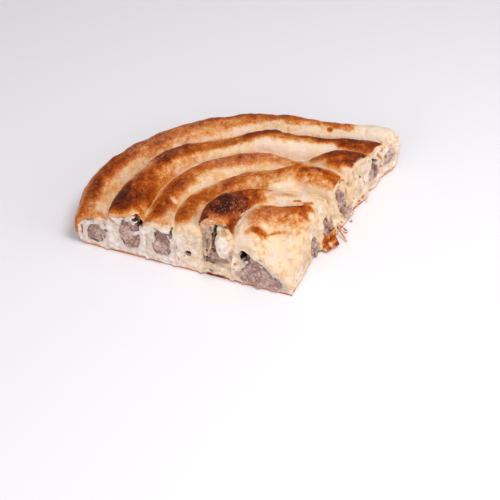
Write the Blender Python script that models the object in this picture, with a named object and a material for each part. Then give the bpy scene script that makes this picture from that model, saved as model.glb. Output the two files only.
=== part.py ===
"""A wedge cut from a coiled meat borek: six arcs of one filled pastry rope.

The rope was coiled on a round tray from the middle outwards and baked until its turns stuck together.
The wedge holds six of those turns, numbered from the rim inwards. Each turn is a loft with a flat
foot, upright sides where it leans on its neighbours and a domed top, and a tunnel runs along it. A
strand of minced meat lies in each tunnel. Sizes are millimetres and degrees until a point is placed.
Angles turn about the coil's centre, which is the wedge's tip, starting from +X.
"""

import math
from collections import namedtuple

import bmesh
import bpy
from mathutils import Matrix, Vector, noise

# The wedge
MM = 0.001
LEFT_CUT = 160.5
RIGHT_CUT = 60.5
TIP = (34.9, -81.1)
GAP = 0.4

# Crests of the turns at nine stations, evenly spaced from the left cut to the right cut. Each cut
# plane holds its angle at the foot below the crest and leans back by its slope. The right skew turns
# a cut about its upright line there, so that it stands further back nearer to the tip.
Turn = namedtuple("Turn", "radius height left_slope right_angle right_slope right_skew", defaults=(0,))
TURNS = (
    Turn(
        radius=(149.5, 155, 157, 156, 153.5, 151.5, 144, 142, 148),
        height=(31, 35, 37, 37.5, 37, 36.5, 37, 37.5, 40.5),
        left_slope=0,
        right_angle=59.5,
        right_slope=0,
        right_skew=0.2,
    ),
    Turn(
        radius=(125, 126, 129, 129, 123, 122.5, 119, 121, 127.5),
        height=(44, 43.5, 43.5, 41, 36.5, 42.5, 38.5, 40, 41.5),
        left_slope=0,
        right_angle=60.4,
        right_slope=-0.01,
        right_skew=0.1,
    ),
    Turn(
        radius=(93, 102, 107, 108.5, 107, 104, 97, 103, 107),
        height=(37, 37, 38, 38.5, 38.5, 37, 33, 44.5, 45),
        left_slope=0,
        right_angle=60.6,
        right_slope=0.01,
        right_skew=0.2,
    ),
    Turn(
        radius=(77, 86, 86, 84, 84, 82, 87, 82, 76),
        height=(40, 39, 37.5, 38.5, 38, 39, 44, 43, 38),
        left_slope=0,
        right_angle=61,
        right_slope=0.15,
    ),
    Turn(
        radius=(53, 64, 69, 67, 65, 58, 56, 55, 55),
        height=(44, 46, 46, 44, 41, 38, 37, 36, 34),
        left_slope=0.18,
        right_angle=64,
        right_slope=0.12,
    ),
    Turn(
        radius=(30, 34, 39, 44, 45, 43, 43, 45, 36),
        height=(39, 39, 40, 41, 41.5, 41.5, 43, 42, 34),
        left_slope=0,
        right_angle=67,
        right_slope=0,
    ),
)
TIP_HEIGHT = 4.0

# Cross-section of a turn
GROOVES_AT_LEFT = (8.0, 4.0, 2.5, 3.0, 5.0)
GROOVES = (9.0, 9.0, 8.0, 8.0, 6.0)
GROOVE_REACH = 14.0
DOME_FULLNESS = 2.2
TIP_FULLNESS_AT_LEFT = 1.1
TIP_FULLNESS = 1.5
TIP_REACH = 40.0
TIP_CLEARANCE = 0.35
DOME_STEPS = 6
FOOT_ROUNDING = 2.5
RIM_BULGES = (12.5, 16.5, 14.5, 12.5, 12.5, 12.5, 12.5, 12.5, 12)
RIM_BELLY = 17.0
RIM_FOOT = 9.0
RIM_LIFTS = (0, math.radians(35), math.radians(65))

# Rows of the loft, as shares of the way from the left cut to the right cut
END_ROWS = (0, 0.008, 0.022, 0.045)
FIRST_MIDDLE_ROW = 0.08
MIDDLE_ROWS = 24
SETTLING_ROUNDS = 4
EDGE_DROP = 3.5
EDGE_REACH = 8.0
BLISTER_HEIGHT = 0.8
BLISTER_SIZE = 14.0
BLISTER_FLOOR = 20.0
BLISTER_FADE = 8.0
SHARPEST_CREASE = math.radians(50)
SAME_PLACE = 0.00001
NO_LENGTH = 0.000001

# Meat strands: the section of each tunnel at the left cut and at the right cut. In between it keeps
# to the middle of its turn, at these shares of the turn's width and height.
Mouth = namedtuple("Mouth", "radius height half_width half_height tilt taper", defaults=(0, 0))
MOUTHS = (
    (Mouth(146.5, 15.5, 8, 11), Mouth(147, 17.5, 5, 6.5)),
    (Mouth(119.5, 20, 8, 14), Mouth(121.5, 20.5, 3.8, 8)),
    (Mouth(96, 18.5, 7, 11.5), Mouth(104, 16, 3, 4)),
    (Mouth(75.8, 15.5, 2.2, 2.2), Mouth(80.5, 20.5, 6.5, 10.5, -0.9)),
    (Mouth(60.6, 20.5, 4, 15), Mouth(58, 15, 5, 7.5)),
    (Mouth(19.5, 10.5, 17, 8.5, 0.35, 0.55), Mouth(37, 13, 5, 7.5)),
)
MEAT_RISE = 0.44
MEAT_WIDTH = 0.27
MEAT_HEIGHT = 0.24
STRAND_ROWS = 14
STRAND_SIDES = 10
STRAND_FULLNESS = 2.6

# Where each strand starts and ends, as shares of the way from the left cut to the right cut
STRAND_ENDS = (
    (0.002, 0.998),
    (0.002, 0.998),
    (0.003, 0.93),
    (0.06, 0.996),
    (0.005, 0.995),
    (0.01, 0.99),
)
MOUTH_REACH = 0.22
PAST_THE_CUT = 0.03
OPEN_FROM = 0.95

# Lumps at a cut: turn, angle, radius, height, and half sizes along the radius, upwards and across the
# cut. Pockets are hollows beside the meat, and crags are pastry that stands out of the cut.
Lump = namedtuple("Lump", "turn angle radius height half_width half_height half_depth")
POCKETS = (
    Lump(1, LEFT_CUT, 113.8, 32, 4.8, 4.8, 7.0),
    Lump(2, LEFT_CUT, 88.6, 29.0, 2.0, 4.4, 6.0),
    Lump(4, LEFT_CUT, 57.2, 33, 1.6, 9.5, 10.0),
    Lump(5, LEFT_CUT, 34.3, 26.6, 4.4, 5.0, 8.0),
    Lump(1, 60.5, 121, 29.5, 2.8, 4.0, 6.0),
)
CRAGS = (
    Lump(4, 158.2, 49.5, 30.5, 6.2, 12.5, 5.5),
    Lump(4, 61, 56, 3.2, 8.0, 1.6, 7.0),
)

# Looks
CRUST = (0.52, 0.27, 0.09, 1)
CRUST_ROUGHNESS = 0.45
MEAT = (0.30, 0.22, 0.20, 1)
MEAT_ROUGHNESS = 0.75


def place(radius, angle, height):
    """A point in metres, from its polar place about the tip."""
    turned = math.radians(angle)
    return Vector((radius * math.cos(turned), radius * math.sin(turned), height)) * MM


def at_station(values, angle):
    """The smooth value at an angle, through one value a station."""
    last = len(values) - 1
    share = (LEFT_CUT - angle) / (LEFT_CUT - RIGHT_CUT)
    position = min(max(share, 0), 1) * last
    first = min(int(position), last - 1)
    step = position - first
    before = values[max(first - 1, 0)]
    start = values[first]
    end = values[first + 1]
    after = values[min(first + 2, last)]
    slope_in = (end - before) / 2
    slope_out = (after - start) / 2
    rise = end - start
    curve = (slope_in + slope_out - 2 * rise) * step + 3 * rise - 2 * slope_in - slope_out
    return start + (slope_in + curve * step) * step


def crest(number, angle):
    """Radius and height of a turn's crest, rounded down towards both cuts."""
    turn = TURNS[number]
    radius = at_station(turn.radius, angle)
    height = at_station(turn.height, angle)
    to_cut = math.radians(min(LEFT_CUT - angle, angle - turn.right_angle)) * radius / EDGE_REACH
    rounding = 1 - min(max(to_cut, 0), 1)
    return radius, height - EDGE_DROP * (1 - math.sqrt(1 - rounding ** 2))


def from_left(start, end, angle, reach):
    """A value that goes smoothly from start at the left cut to end, over a reach in degrees."""
    share = min(max((LEFT_CUT - angle) / reach, 0), 1)
    return start + (end - start) * share * share * (3 - 2 * share)


def between(number, angle):
    """Radius and groove height where a turn meets the next one inwards."""
    outer_radius, outer_height = crest(number, angle)
    inner_radius, inner_height = crest(number + 1, angle)
    depth = from_left(GROOVES_AT_LEFT[number], GROOVES[number], angle, GROOVE_REACH)
    return (outer_radius + inner_radius) / 2, min(outer_height, inner_height) - depth


def quarter(start, end, fullness, steps):
    """Points after start on a quarter of a superellipse that leaves start level and drops to end."""
    points = []
    for step in range(1, steps + 1):
        turned = math.pi / 2 * step / steps
        across = math.sin(turned) ** (2 / fullness)
        left = max(math.cos(turned), 0) ** (2 / fullness)
        radius = start[0] + (end[0] - start[0]) * across
        height = end[1] + (start[1] - end[1]) * left
        points.append((radius, height))
    return points


def section(number, angle):
    """A turn's outline at an angle, as radius and height, from the outer foot round to the inner."""
    top = crest(number, angle)
    if number == 0:
        bulge = at_station(RIM_BULGES, angle)
        belly = (top[0] + bulge, RIM_BELLY)
        foot = (belly[0] - RIM_FOOT, 0)
        below = [
            (foot[0] + (belly[0] - foot[0]) * math.sin(lift), belly[1] * (1 - math.cos(lift)))
            for lift in RIM_LIFTS
        ]
        outer = below + quarter(top, belly, DOME_FULLNESS, DOME_STEPS)[::-1]
    else:
        radius, groove = between(number - 1, angle)
        radius -= GAP / 2
        below = [(radius - FOOT_ROUNDING, 0), (radius, FOOT_ROUNDING), (radius, groove / 2)]
        outer = below + quarter(top, (radius, groove), DOME_FULLNESS, DOME_STEPS)[::-1]
    if number == len(TURNS) - 1:
        fullness = from_left(TIP_FULLNESS_AT_LEFT, TIP_FULLNESS, angle, TIP_REACH)
        inner = quarter(top, (0, TIP_HEIGHT), fullness, DOME_STEPS) + [(0, 0)]
    else:
        radius, groove = between(number, angle)
        radius += GAP / 2
        above = [(radius, groove / 2), (radius, FOOT_ROUNDING), (radius + FOOT_ROUNDING, 0)]
        inner = quarter(top, (radius, groove), DOME_FULLNESS, DOME_STEPS) + above
    return outer + [top] + inner


def angle_at(number, share, radius=None, height=0):
    """The angle at a share of the way round a turn, whose two ends lie on the planes of its cuts."""
    turn = TURNS[number]
    pivot = turn.radius[-1]
    reach = pivot if radius is None else max(radius, 1)
    start = LEFT_CUT - math.degrees(math.asin(turn.left_slope * height / reach))
    skewed = math.atan(turn.right_skew)
    set_back = (turn.right_slope * height + turn.right_skew * pivot) * math.cos(skewed)
    end = turn.right_angle + math.degrees(math.asin(set_back / reach) - skewed)
    return start + (end - start) * share


def blister(point, height):
    """How far the crust swells or sinks at a point, in metres. The sides stay as they are."""
    share = min(max(height - BLISTER_FLOOR, 0) / BLISTER_FADE, 1)
    return share * BLISTER_HEIGHT * MM * noise.noise(point / (BLISTER_SIZE * MM))


def loft(rings):
    """A closed mesh from rings of points, with a flat face on the first and on the last."""
    mesh = bmesh.new()
    rows = [[mesh.verts.new(point) for point in ring] for ring in rings]
    for row, following in zip(rows, rows[1:]):
        for index in range(len(row)):
            after = (index + 1) % len(row)
            mesh.faces.new((row[index], row[after], following[after], following[index]))
    mesh.faces.new(rows[0][::-1])
    mesh.faces.new(rows[-1])
    bmesh.ops.remove_doubles(mesh, verts=mesh.verts, dist=SAME_PLACE)
    bmesh.ops.dissolve_degenerate(mesh, edges=mesh.edges, dist=NO_LENGTH)
    sides = [face for face in mesh.faces if len(face.verts) == 4]
    bmesh.ops.triangulate(mesh, faces=sides)
    bmesh.ops.recalc_face_normals(mesh, faces=mesh.faces)
    return mesh


def add_object(name, mesh, collection, parent, material=None):
    """An object that takes a finished bmesh and hangs on the tip."""
    data = bpy.data.meshes.new(name)
    mesh.to_mesh(data)
    mesh.free()
    item = bpy.data.objects.new(name, data)
    item.parent = parent
    collection.objects.link(item)
    if material:
        data.materials.append(material)
        data.shade_smooth()
        data.set_sharp_from_angle(angle=SHARPEST_CREASE)
    else:
        item.hide_render = True
        item.display_type = "WIRE"
    return item


def principled(name, colour, roughness):
    """A plain material."""
    material = bpy.data.materials.new(name)
    material.use_nodes = True
    material.diffuse_color = colour
    shader = material.node_tree.nodes["Principled BSDF"]
    shader.inputs["Base Color"].default_value = colour
    shader.inputs["Roughness"].default_value = roughness
    shader.inputs["Metallic"].default_value = 0
    return material


def settle(number, share, index):
    """Radius, angle and height of one outline point, on the plane of its row."""
    angle = angle_at(number, share)
    for _ in range(SETTLING_ROUNDS):
        radius, height = section(number, angle)[index]
        angle = angle_at(number, share, radius, height)
    return radius, angle, height


def turn_mesh(number):
    """A turn as one loft, with rows closer together near its cuts."""
    spacing = (1 - 2 * FIRST_MIDDLE_ROW) / (MIDDLE_ROWS - 1)
    middle = [FIRST_MIDDLE_ROW + spacing * row for row in range(MIDDLE_ROWS)]
    shares = [*END_ROWS, *middle, *(1 - share for share in END_ROWS[::-1])]
    rings = []
    for share in shares:
        ring = []
        for index in range(len(section(number, RIGHT_CUT))):
            radius, angle, height = settle(number, share, index)
            point = place(radius, angle, height)
            point.z += blister(point, height)
            ring.append(point)
        rings.append(ring)
    return loft(rings)


def sides(number, angle):
    """The radii between which a turn stands."""
    if number == 0:
        outer = crest(number, angle)[0] + at_station(RIM_BULGES, angle)
    else:
        outer = between(number - 1, angle)[0]
    if number == len(TURNS) - 1:
        return outer, outer * TIP_CLEARANCE
    return outer, between(number, angle)[0]


def mouth_at(number, share):
    """The tunnel's section at a share of the way round, from the nearer mouth to the turn's middle."""
    angle = angle_at(number, share)
    outer, inner = sides(number, angle)
    height = crest(number, angle)[1]
    middle = Mouth(
        (outer + inner) / 2,
        height * MEAT_RISE,
        (outer - inner) * MEAT_WIDTH,
        height * MEAT_HEIGHT,
    )
    mouth = MOUTHS[number][share > 0.5]
    blend = min(max(min(share, 1 - share) / MOUTH_REACH, 0), 1)
    blend = blend * blend * (3 - 2 * blend)
    return Mouth(*(start + (finish - start) * blend for start, finish in zip(mouth, middle)))


def tunnel_ring(number, share, shrink):
    """One row of a tunnel, drawn in all round by a distance in millimetres."""
    mouth = mouth_at(number, share)
    ring = []
    for side in range(STRAND_SIDES):
        turned = 2 * math.pi * (side + 0.5) / STRAND_SIDES
        across = math.copysign(abs(math.cos(turned)) ** (2 / STRAND_FULLNESS), math.cos(turned))
        up = math.copysign(abs(math.sin(turned)) ** (2 / STRAND_FULLNESS), math.sin(turned))
        offset = (mouth.half_width - shrink) * across
        rise = (mouth.half_height - shrink) * up * (1 + mouth.taper * across)
        radius = mouth.radius + offset
        height = mouth.height + mouth.tilt * offset + rise
        ring.append(place(radius, angle_at(number, share, radius, height), height))
    return ring


def strand_shares(number):
    """Where a strand's rows stand, as shares of the way round."""
    start, end = STRAND_ENDS[number]
    inner = [(row + 1) / (STRAND_ROWS + 1) for row in range(STRAND_ROWS)]
    return [start] + [share for share in inner if start < share < end] + [end]


def tunnel_mesh(number):
    """The cutter of a tunnel, which runs out past each cut that the filling reaches."""
    shares = strand_shares(number)
    if shares[-1] > OPEN_FROM:
        shares = shares + [1 + PAST_THE_CUT]
    shares = [-PAST_THE_CUT] + shares
    return loft([tunnel_ring(number, share, 0) for share in shares])


def strand_mesh(number):
    """A strand of meat with a gap all round it."""
    return loft([tunnel_ring(number, share, GAP) for share in strand_shares(number)])


def lump_mesh(lump):
    """An egg shape whose widths lie along the radius, upwards and across the cut."""
    mesh = bmesh.new()
    bmesh.ops.create_icosphere(mesh, subdivisions=2, radius=MM)
    sizes = (lump.half_width, lump.half_depth, lump.half_height)
    bmesh.ops.scale(mesh, vec=sizes, verts=mesh.verts)
    turned = Matrix.Rotation(math.radians(lump.angle), 3, "Z")
    bmesh.ops.rotate(mesh, matrix=turned, verts=mesh.verts)
    bmesh.ops.translate(mesh, vec=place(lump.radius, lump.angle, lump.height), verts=mesh.verts)
    return mesh


def combine(item, tool, operation):
    """Join a tool to an item or cut it away."""
    modifier = item.modifiers.new(tool.name, "BOOLEAN")
    modifier.operation = operation
    modifier.object = tool


def main():
    for item in list(bpy.data.objects):
        bpy.data.objects.remove(item)
    parts = bpy.data.collections.new("meat_borek_wedge")
    cutters = bpy.data.collections.new("cutters")
    bpy.context.scene.collection.children.link(parts)
    bpy.context.scene.collection.children.link(cutters)
    tip = bpy.data.objects.new("tip", None)
    tip.location = (TIP[0] * MM, TIP[1] * MM, 0)
    parts.objects.link(tip)
    for number in range(len(TURNS)):
        label = number + 1
        crust = principled(f"crust_{label}", CRUST, CRUST_ROUGHNESS)
        turn = add_object(f"pastry_turn_{label}", turn_mesh(number), parts, tip, crust)
        for index, lump in enumerate(CRAGS):
            if lump.turn == number:
                crag = add_object(f"crag_{index + 1}", lump_mesh(lump), cutters, tip)
                combine(turn, crag, "UNION")
        tunnel = add_object(f"tunnel_{label}", tunnel_mesh(number), cutters, tip)
        combine(turn, tunnel, "DIFFERENCE")
        for index, lump in enumerate(POCKETS):
            if lump.turn == number:
                pocket = add_object(f"pocket_{index + 1}", lump_mesh(lump), cutters, tip)
                combine(turn, pocket, "DIFFERENCE")
        meat = principled(f"meat_{label}", MEAT, MEAT_ROUGHNESS)
        add_object(f"meat_strand_{label}", strand_mesh(number), parts, tip, meat)


main()
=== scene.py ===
"""The looks of a wedge of coiled meat borek: baked crust, cut and torn dough, minced meat.

Lengths are millimetres and angles are degrees about the coil's centre, the wedge's tip, until a point
goes into a mesh. The turns of the coil are numbered from the rim inwards.
"""

import math
from collections import namedtuple

import bmesh
import bpy
import numpy as np
from mathutils import Matrix, Vector, noise
from mathutils.bvhtree import BVHTree


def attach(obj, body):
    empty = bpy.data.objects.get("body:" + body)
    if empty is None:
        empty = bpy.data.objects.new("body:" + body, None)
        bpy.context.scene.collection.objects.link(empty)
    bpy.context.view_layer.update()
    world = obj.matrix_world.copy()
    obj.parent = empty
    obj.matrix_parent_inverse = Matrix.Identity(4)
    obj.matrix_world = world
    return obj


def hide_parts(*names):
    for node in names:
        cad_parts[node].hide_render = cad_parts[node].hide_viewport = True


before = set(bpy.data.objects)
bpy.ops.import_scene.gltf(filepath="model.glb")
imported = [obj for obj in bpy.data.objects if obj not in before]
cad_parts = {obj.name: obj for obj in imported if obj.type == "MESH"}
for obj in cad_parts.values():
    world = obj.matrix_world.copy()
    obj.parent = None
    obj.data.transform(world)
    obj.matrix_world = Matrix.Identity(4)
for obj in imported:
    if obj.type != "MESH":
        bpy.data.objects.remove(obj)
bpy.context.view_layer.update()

MM = 0.001
TURNS = range(1, 7)
TURN_RADII = np.array((0, 155, 125, 103, 82, 62, 32))

# The coil
LEFT_CUT = 160.5
RIGHT_CUT = 60.5
TIP = min((vertex.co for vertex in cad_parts["pastry_turn_6"].data.vertices), key=lambda co: co.y)
TIP = np.array((TIP.x, TIP.y, 0)) / MM
UP = np.array((0, 0, 1))
SAME_PLACE = 0.00001
SHORTEST = 1e-6

# The crust's mesh
VOXEL = 0.62
JOIN = 0.3
STUFFING_DEPTH = 10.0
STUFFING_GROWTH = 0.8
SMOOTHING = 3
CRUST_SHARE = 0.34
PLAIN_FIRST = 10
# How willingly faces are given up: the skin's and the cuts', with the foot at 1
SKIN_PLAINNESS = 0.5
CUT_PLAINNESS = 0.15
HIDDEN = 6.0
# Loose bits with fewer corners than this are left out
SPECK = 100
TWIST = 27.0

# Where the tops of the turns are measured
ANGLES = np.arange(56.0, 165.0, 1.0)
RADII = np.arange(0.5, 176.0, 1.0)
CEILING = 70.0
MISSING = -1.0
LINE_SMOOTHING = np.array((1, 2, 3, 2, 1)) / 9

# Camera
FOCAL_LENGTH = 91.94
SENSOR = 36.0
ELEVATION = math.radians(44.2)
DISTANCE = 0.912
LOOK_AT = Vector(((TIP[0] - 25.3) * MM, (TIP[1] + 54.9) * MM, 0))
SHIFT = (-0.01, -0.02)


def smooth_step(value, low, high):
    share = np.clip((value - low) / (high - low), 0, 1)
    return share * share * (3 - 2 * share)


def noise_at(points, size, seed=0):
    """Smooth noise from -1 to 1 over points in millimetres, with lumps about one size across."""
    moved = points / size + np.array((17.3, 5.1, 9.7)) * seed
    return np.array([noise.noise(point) for point in moved.tolist()])


def ridges_at(points, size, seed=0):
    """Noise from -1 to 1 with sharp ridges along its middle value."""
    return 1 - 4 * np.abs(noise_at(points, size, seed))


def points_of(mesh):
    points = np.zeros(len(mesh.vertices) * 3)
    mesh.vertices.foreach_get("co", points)
    return points.reshape(-1, 3) / MM


def normals_of(mesh):
    normals = np.zeros(len(mesh.vertices) * 3)
    mesh.vertices.foreach_get("normal", normals)
    return normals.reshape(-1, 3)


def put_points(mesh, points):
    mesh.vertices.foreach_set("co", (points * MM).ravel())
    mesh.update()


def outwards_at(angle):
    turned = math.radians(angle)
    return np.array((math.cos(turned), math.sin(turned), 0))


def around_at(angle):
    turned = math.radians(angle)
    return np.array((-math.sin(turned), math.cos(turned), 0))


def reach_of(x, y, start, end, width):
    """How far places lie from a line, in widths."""
    start, end = np.array(start, float), np.array(end, float)
    line = end - start
    length = max(line @ line, SHORTEST)
    share = np.clip(((x - start[0]) * line[0] + (y - start[1]) * line[1]) / length, 0, 1)
    return np.hypot(x - start[0] - share * line[0], y - start[1] - share * line[1]) / width


def solid_of(node):
    """A merged copy of one of the solids."""
    mesh = bmesh.new()
    mesh.from_mesh(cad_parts[node].data)
    bmesh.ops.remove_doubles(mesh, verts=mesh.verts, dist=SAME_PLACE)
    mesh.normal_update()
    return mesh


def grow(mesh, distance):
    for vertex in mesh.verts:
        vertex.co += vertex.normal * distance * MM


def to_object(mesh, name):
    data = bpy.data.meshes.new(name)
    mesh.to_mesh(data)
    mesh.free()
    item = bpy.data.objects.new(name, data)
    bpy.context.scene.collection.objects.link(item)
    return item


def apply_modifiers(item):
    """Swap the item's mesh for what its modifiers make of it."""
    shape = item.evaluated_get(bpy.context.evaluated_depsgraph_get())
    made = bpy.data.meshes.new_from_object(shape)
    old = item.data
    item.modifiers.clear()
    item.data = made
    bpy.data.meshes.remove(old)
    made.name = item.name


def remesh(item, size):
    modifier = item.modifiers.new("even_faces", "REMESH")
    modifier.mode = "VOXEL"
    modifier.voxel_size = size * MM
    apply_modifiers(item)


def smooth(item, rounds):
    mesh = bmesh.new()
    mesh.from_mesh(item.data)
    every_way = {f"use_axis_{axis}": True for axis in "xyz"}
    for _ in range(rounds):
        bmesh.ops.smooth_vert(mesh, verts=mesh.verts, factor=0.5, **every_way)
    mesh.to_mesh(item.data)
    mesh.free()


def drop_specks(item):
    """Take out the loose specks, pieces with hardly any corners."""
    mesh = bmesh.new()
    mesh.from_mesh(item.data)
    unseen = set(mesh.verts)
    while unseen:
        piece = {unseen.pop()}
        rim = list(piece)
        while rim:
            corner = rim.pop()
            for edge in corner.link_edges:
                other = edge.other_vert(corner)
                if other not in piece:
                    piece.add(other)
                    rim.append(other)
        unseen -= piece
        if len(piece) < SPECK:
            bmesh.ops.delete(mesh, geom=list(piece), context="VERTS")
    mesh.to_mesh(item.data)
    mesh.free()


def thin_out(item, weights, ratio):
    """Keep a share of the faces, fewest where the weights are high."""
    group = item.vertex_groups.new(name="plain")
    steps = np.clip(np.round(weights * 10), 0, 10).astype(int)
    for step in range(1, 11):
        chosen = np.nonzero(steps == step)[0].tolist()
        if chosen:
            group.add(chosen, step / 10, "REPLACE")
    modifier = item.modifiers.new("fewer_faces", "DECIMATE")
    modifier.ratio = ratio
    modifier.vertex_group = group.name
    modifier.vertex_group_factor = PLAIN_FIRST
    apply_modifiers(item)
    item.vertex_groups.clear()


def set_attribute(item, name, values):
    layer = item.data.attributes.new(name, "FLOAT", "POINT")
    layer.data.foreach_set("value", values.astype(np.float32))


# The turns as the solids have them

Rope = namedtuple("Rope", "inner crest outer left right")
Cut = namedtuple("Cut", "point normal")


def heights_over(tree):
    """Top heights on the grid of angles and radii."""
    heights = np.full((len(ANGLES), len(RADII)), MISSING)
    for row, angle in enumerate(ANGLES):
        outwards = outwards_at(angle)
        for column, radius in enumerate(RADII):
            start = TIP + radius * outwards + CEILING * UP
            hit = tree.ray_cast(Vector(start * MM), Vector((0, 0, -1)))[0]
            if hit:
                heights[row, column] = hit.z / MM
    return heights


def line_along(values, known):
    """A value at every angle, held past its ends and evened out."""
    filled = np.interp(ANGLES, ANGLES[known], values[known])
    padded = np.pad(filled, 2, mode="edge")
    return np.convolve(padded, LINE_SMOOTHING, mode="valid")


def cut_of(mesh, way):
    """A turn's flat end: the largest group of faces that look the same way out of the cut."""
    areas = {}
    points = {}
    for face in mesh.faces:
        centre = np.array(face.calc_center_median()) / MM
        across = centre - TIP
        around = around_at(math.degrees(math.atan2(across[1], across[0]))) * way
        if np.dot(face.normal, around) > 0.8:
            key = tuple(round(value, 2) for value in face.normal)
            areas[key] = areas.get(key, 0) + face.calc_area()
            points[key] = centre
    normal = max(areas, key=areas.get)
    return Cut(points[normal], np.array(normal) / np.linalg.norm(normal))


def rope_of(number):
    """The inner edge, crest and outer edge of a turn at each angle, and its two cuts."""
    mesh = solid_of(f"pastry_turn_{number}")
    heights = heights_over(BVHTree.FromBMesh(mesh))
    cuts = cut_of(mesh, 1), cut_of(mesh, -1)
    mesh.free()
    top = heights.max(axis=1)
    known = top > 25
    present = heights > 0
    inner = np.where(present, RADII, 1e9).min(axis=1)
    outer = np.where(present, RADII, -1e9).max(axis=1)
    weights = np.exp(heights - top[:, None])
    crest = (weights * RADII).sum(axis=1) / weights.sum(axis=1)
    return Rope(*(line_along(values, known) for values in (inner, crest, outer)), *cuts)


ROPES = {number: rope_of(number) for number in TURNS}


def turn_at(angles, radii):
    """The turn that each place belongs to, and how far it lies from the crest, -1 inside to 1 outside."""
    number = np.full(len(radii), 1)
    for turn in TURNS[1:]:
        edge = np.interp(angles, ANGLES, (ROPES[turn].outer + ROPES[turn - 1].inner) / 2)
        number[radii < edge] = turn
    side = np.zeros(len(radii))
    for turn in TURNS:
        mine = number == turn
        inner, crest, outer = (np.interp(angles[mine], ANGLES, line) for line in ROPES[turn][:3])
        offset = radii[mine] - crest
        side[mine] = np.where(offset > 0, offset / (outer - crest), offset / (crest - inner))
    return number, np.clip(side, -1, 1.2)


def cover_over(heights, angles, radii):
    """Height of the crust over each place."""
    row = np.clip((angles - ANGLES[0]) / (ANGLES[1] - ANGLES[0]), 0, len(ANGLES) - 1.001)
    column = np.clip((radii - RADII[0]) / (RADII[1] - RADII[0]), 0, len(RADII) - 1.001)
    i, j = row.astype(int), column.astype(int)
    a, b = row - i, column - j
    inner = heights[i, j] * (1 - a) + heights[i + 1, j] * a
    outer = heights[i, j + 1] * (1 - a) + heights[i + 1, j + 1] * a
    return inner * (1 - b) + outer * b


# Torn dough and stray meat at the cuts: flat bands through places given as the radius, the height and
# how far out from the cut
Band = namedtuple("Band", "turn side places width thickness")
BEAD_STEP = 0.5

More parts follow.
